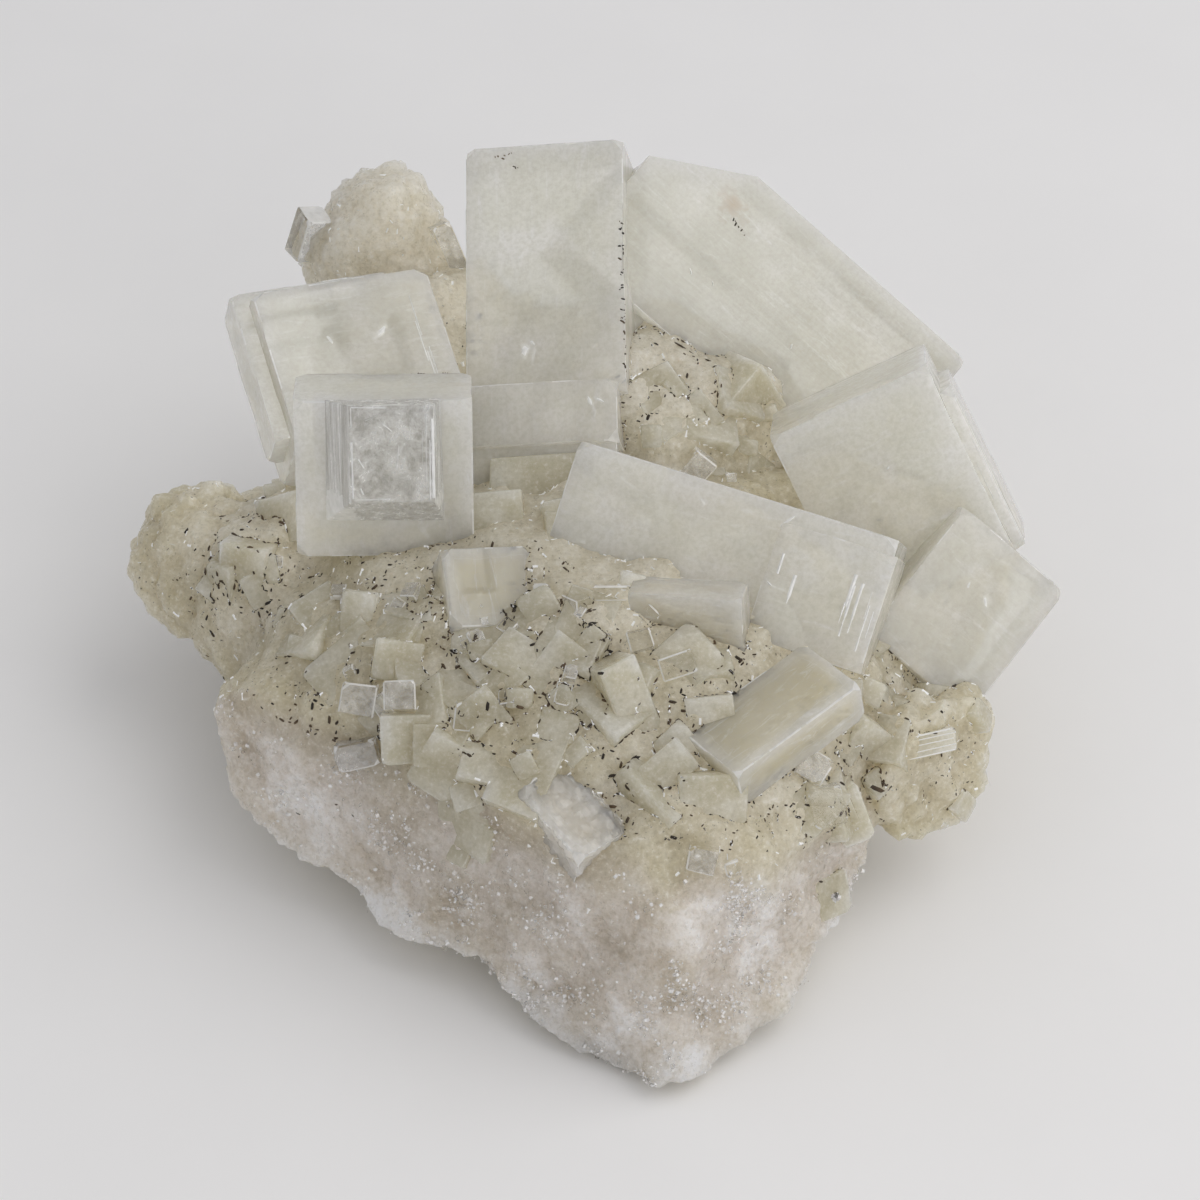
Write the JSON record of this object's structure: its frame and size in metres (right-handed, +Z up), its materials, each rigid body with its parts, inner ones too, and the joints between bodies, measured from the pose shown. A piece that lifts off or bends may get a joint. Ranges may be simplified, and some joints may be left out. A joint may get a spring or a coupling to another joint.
{
  "type": "apophyllite and prehnite cluster",
  "caption": "Mineral specimen: blocky, milky apophyllite crystals grown on a lumpy pale green prehnite matrix with a broken, sugary front.",
  "frame": {"origin": "on the flat that the specimen stands on, under the centre of its bounding box", "axes": "+Z up from the flat, +X to the right along the widest way across, -Y toward the broken front"},
  "size_m": [0.0714, 0.0694, 0.0386],
  "materials": {
    "prehnite": "satin",
    "apophyllite": "gloss"
  },
  "bodies": {
    "root": {"prehnite_matrix": "prehnite", "tall_centre_crystal": "apophyllite", "back_right_crystal": "apophyllite", "right_upper_crystal": "apophyllite", "right_lower_crystal": "apophyllite", "long_front_right_crystal": "apophyllite", "left_front_crystal": "apophyllite", "left_back_crystal": "apophyllite", "front_right_crystal": "apophyllite", "slab_crystal": "apophyllite", "rounded_crystal": "apophyllite", "front_corner_crystal": "apophyllite"}
  },
  "joints": []
}
